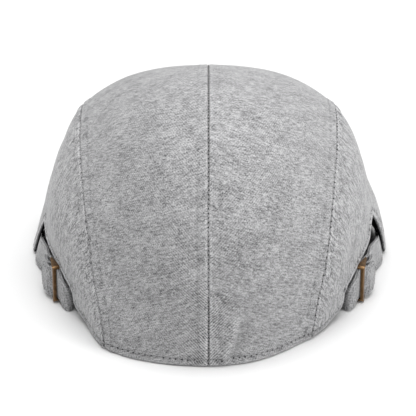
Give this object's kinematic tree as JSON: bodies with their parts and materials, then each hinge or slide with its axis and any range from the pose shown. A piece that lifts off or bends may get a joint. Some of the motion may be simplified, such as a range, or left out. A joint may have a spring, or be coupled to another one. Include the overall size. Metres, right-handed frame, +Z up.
{
  "type": "flat cap",
  "caption": "Heather-grey cotton flat cap with a centre seam, a short stiff peak and a buckled adjusting strap across a notch on each side.",
  "frame": {"origin": "on the surface the cap rests on, under the middle of its overall length and width", "axes": "+Z up, +Y towards the peak, +X towards the wearer's right"},
  "size_m": [0.1942, 0.2545, 0.1227],
  "materials": {
    "cloth": "matte",
    "brass": "satin"
  },
  "bodies": {
    "root": {"top_panel_left": "cloth", "side_panel_left": "cloth", "strap_left": "cloth", "tab_left": "cloth", "buckle_left": "brass", "top_panel_right": "cloth", "side_panel_right": "cloth", "strap_right": "cloth", "tab_right": "cloth", "buckle_right": "brass", "peak": "cloth"}
  },
  "joints": []
}
